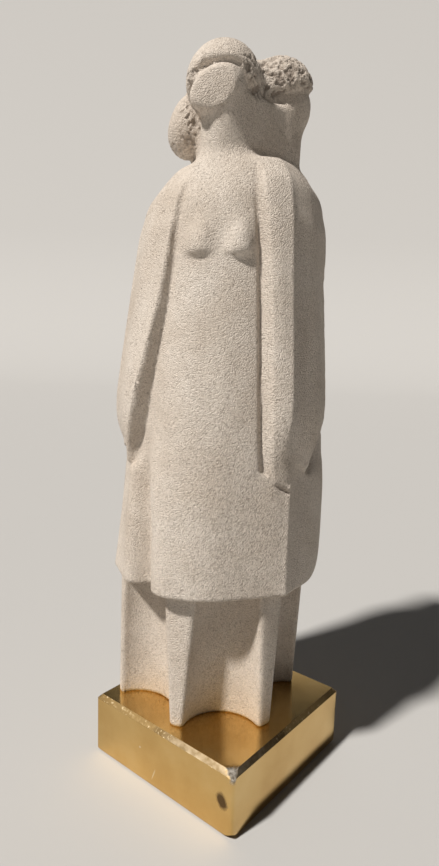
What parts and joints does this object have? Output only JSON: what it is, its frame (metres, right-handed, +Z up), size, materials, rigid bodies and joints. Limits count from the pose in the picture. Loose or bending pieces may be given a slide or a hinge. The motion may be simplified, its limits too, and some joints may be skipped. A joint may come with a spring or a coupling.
{
  "type": "figure group statue",
  "caption": "Tabletop statue: robed women standing back to back, carved as a single fluted stone group, on a square polished brass block.",
  "frame": {"origin": "middle of the brass block's square underside", "axes": "+Z up through the standing figures; X and Y along the block's sides, the first woman facing between -X and -Y"},
  "size_m": [0.0697, 0.0697, 0.2299],
  "materials": {
    "cast_stone": "matt sandy cast stone with fine pits, the hair coarsely pitted",
    "polished_brass": "polished, with worn bright bevels and a little tarnish"
  },
  "bodies": {
    "root": {"three_figures": "cast_stone", "brass_base": "polished_brass"}
  },
  "joints": []
}
